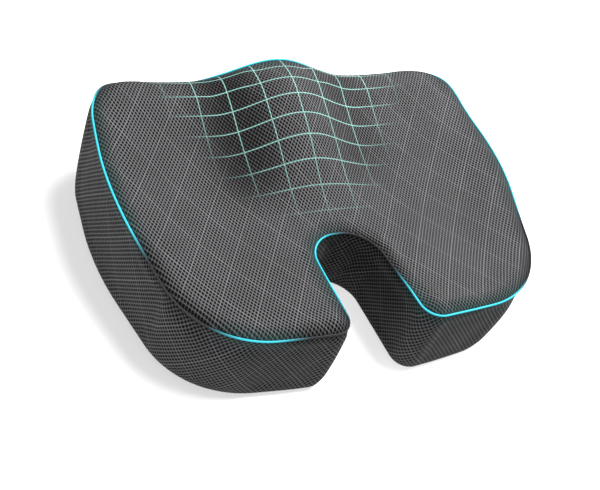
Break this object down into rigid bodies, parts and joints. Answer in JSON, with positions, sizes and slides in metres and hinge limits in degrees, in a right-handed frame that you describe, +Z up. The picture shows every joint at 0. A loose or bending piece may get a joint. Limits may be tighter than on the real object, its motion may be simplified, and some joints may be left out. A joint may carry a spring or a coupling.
{
  "type": "seat cushion",
  "caption": "Contoured foam seat cushion with a raised front, a U-shaped tailbone cut-out, and a piped mesh cover that zips off.",
  "frame": {"origin": "on the floor, under the middle of the whole cushion", "axes": "+X towards the sitter's right, +Y towards the front edge with the pommel, +Z up"},
  "size_m": [0.4552, 0.329, 0.1436],
  "materials": {
    "memory_foam": "open-cell matte",
    "liner_knit": "matte knit",
    "air_mesh": "matte spacer mesh",
    "base_fabric": "matte weave",
    "grip_rubber": "matte",
    "piping_cord": "satin cord",
    "zip_tape": "matte twill tape",
    "zip_coil": "satin",
    "zip_metal": "semi-gloss",
    "label_satin": "satin ribbon, blank"
  },
  "bodies": {
    "cushion": {"foam_core": "memory_foam", "inner_liner": "liner_knit", "top_panel": "air_mesh", "side_border": "air_mesh", "front_border_upper": "air_mesh", "front_border_lower": "air_mesh", "bottom_panel": "base_fabric", "grip_dots": "grip_rubber", "top_piping": "piping_cord", "zip_tape_upper": "zip_tape", "zip_tape_lower": "zip_tape", "zip_coil_upper": "zip_coil", "zip_coil_lower": "zip_coil", "zip_top_stops": "zip_metal", "zip_bottom_stop": "zip_metal", "care_label": "label_satin"},
    "zip_slider": {"zip_slider": "zip_metal"},
    "zip_pull": {"zip_pull_tab": "zip_metal"}
  },
  "joints": [
    {"name": "zip_travel", "type": "slide", "parent": "cushion", "child": "zip_slider", "axis": [-1, 0, 0], "range_m": [0, 0.255]},
    {"name": "pull_tab_swing", "type": "hinge", "parent": "zip_slider", "child": "zip_pull", "pos_m": [0.128, 0.1626, 0.034], "axis": [0, 0, -1], "range_deg": [0, 175]}
  ]
}
